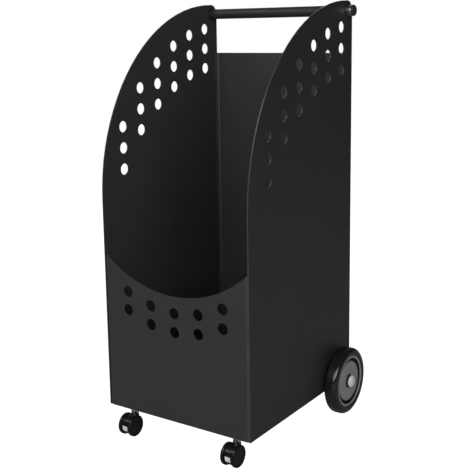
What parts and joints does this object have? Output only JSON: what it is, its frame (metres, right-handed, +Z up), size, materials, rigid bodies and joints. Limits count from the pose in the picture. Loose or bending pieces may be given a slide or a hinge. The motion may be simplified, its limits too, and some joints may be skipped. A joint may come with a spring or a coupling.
{
  "type": "newspaper rack",
  "caption": "Open sheet-steel newspaper bin on wheels with curved perforated side panels, a dished front panel, a cross handle at the top, large rear wheels and swivelling front casters.",
  "frame": {"origin": "on the floor, under the middle of the overall box", "axes": "+X to the right seen from the open front, +Y to the rear where the handle and large wheels are, +Z up"},
  "size_m": [0.3694, 0.373, 0.759],
  "materials": {
    "powder_coat": "fine satin powder coat",
    "handle_coat": "semi-gloss paint",
    "zinc": "bright plated",
    "tyre_rubber": "smooth rubber",
    "hub_plastic": "moulded grey plastic",
    "bush_nylon": "natural nylon",
    "caster_plastic": "glossy black plastic",
    "plug_plastic": "moulded black plastic"
  },
  "bodies": {
    "rack_body": {"left_side_panel": "powder_coat", "right_side_panel": "powder_coat", "front_panel": "powder_coat", "back_panel": "powder_coat", "base_tray": "powder_coat", "caster_crossmember": "powder_coat", "left_axle_plate": "powder_coat", "right_axle_plate": "powder_coat", "rear_axle": "zinc", "handle_tube": "handle_coat", "left_handle_plug": "plug_plastic", "left_inner_washer": "zinc", "left_outer_washer": "zinc", "left_axle_cap": "zinc", "left_caster_stem": "zinc", "left_caster_nut": "zinc", "right_handle_plug": "plug_plastic", "right_inner_washer": "zinc", "right_outer_washer": "zinc", "right_axle_cap": "zinc", "right_caster_stem": "zinc", "right_caster_nut": "zinc"},
    "left_rear_wheel": {"left_tyre": "tyre_rubber", "left_hub": "hub_plastic", "left_hub_bush": "bush_nylon"},
    "right_rear_wheel": {"right_tyre": "tyre_rubber", "right_hub": "hub_plastic", "right_hub_bush": "bush_nylon"},
    "left_caster_swivel": {"left_caster_hood": "caster_plastic", "left_caster_pin": "zinc"},
    "left_caster_outer": {"left_caster_outer_wheel": "caster_plastic"},
    "left_caster_inner": {"left_caster_inner_wheel": "caster_plastic"},
    "right_caster_swivel": {"right_caster_hood": "caster_plastic", "right_caster_pin": "zinc"},
    "right_caster_outer": {"right_caster_outer_wheel": "caster_plastic"},
    "right_caster_inner": {"right_caster_inner_wheel": "caster_plastic"}
  },
  "joints": [
    {"name": "left_rear_wheel_spin", "type": "hinge", "parent": "rack_body", "child": "left_rear_wheel", "pos_m": [-0.1656, 0.125, 0.0615], "axis": [1, 0, 0], "continuous": true},
    {"name": "right_rear_wheel_spin", "type": "hinge", "parent": "rack_body", "child": "right_rear_wheel", "pos_m": [0.1656, 0.125, 0.0615], "axis": [1, 0, 0], "continuous": true},
    {"name": "left_caster_turn", "type": "hinge", "parent": "rack_body", "child": "left_caster_swivel", "pos_m": [-0.11, -0.155, 0.0355], "axis": [0, 0, 1], "continuous": true},
    {"name": "left_caster_outer_spin", "type": "hinge", "parent": "left_caster_swivel", "child": "left_caster_outer", "pos_m": [-0.12055, -0.1675, 0.019], "axis": [1, 0, 0], "continuous": true},
    {"name": "left_caster_inner_spin", "type": "hinge", "parent": "left_caster_swivel", "child": "left_caster_inner", "pos_m": [-0.09945, -0.1675, 0.019], "axis": [1, 0, 0], "continuous": true},
    {"name": "right_caster_turn", "type": "hinge", "parent": "rack_body", "child": "right_caster_swivel", "pos_m": [0.11, -0.155, 0.0355], "axis": [0, 0, 1], "continuous": true},
    {"name": "right_caster_outer_spin", "type": "hinge", "parent": "right_caster_swivel", "child": "right_caster_outer", "pos_m": [0.12055, -0.1675, 0.019], "axis": [1, 0, 0], "continuous": true},
    {"name": "right_caster_inner_spin", "type": "hinge", "parent": "right_caster_swivel", "child": "right_caster_inner", "pos_m": [0.09945, -0.1675, 0.019], "axis": [1, 0, 0], "continuous": true}
  ]
}
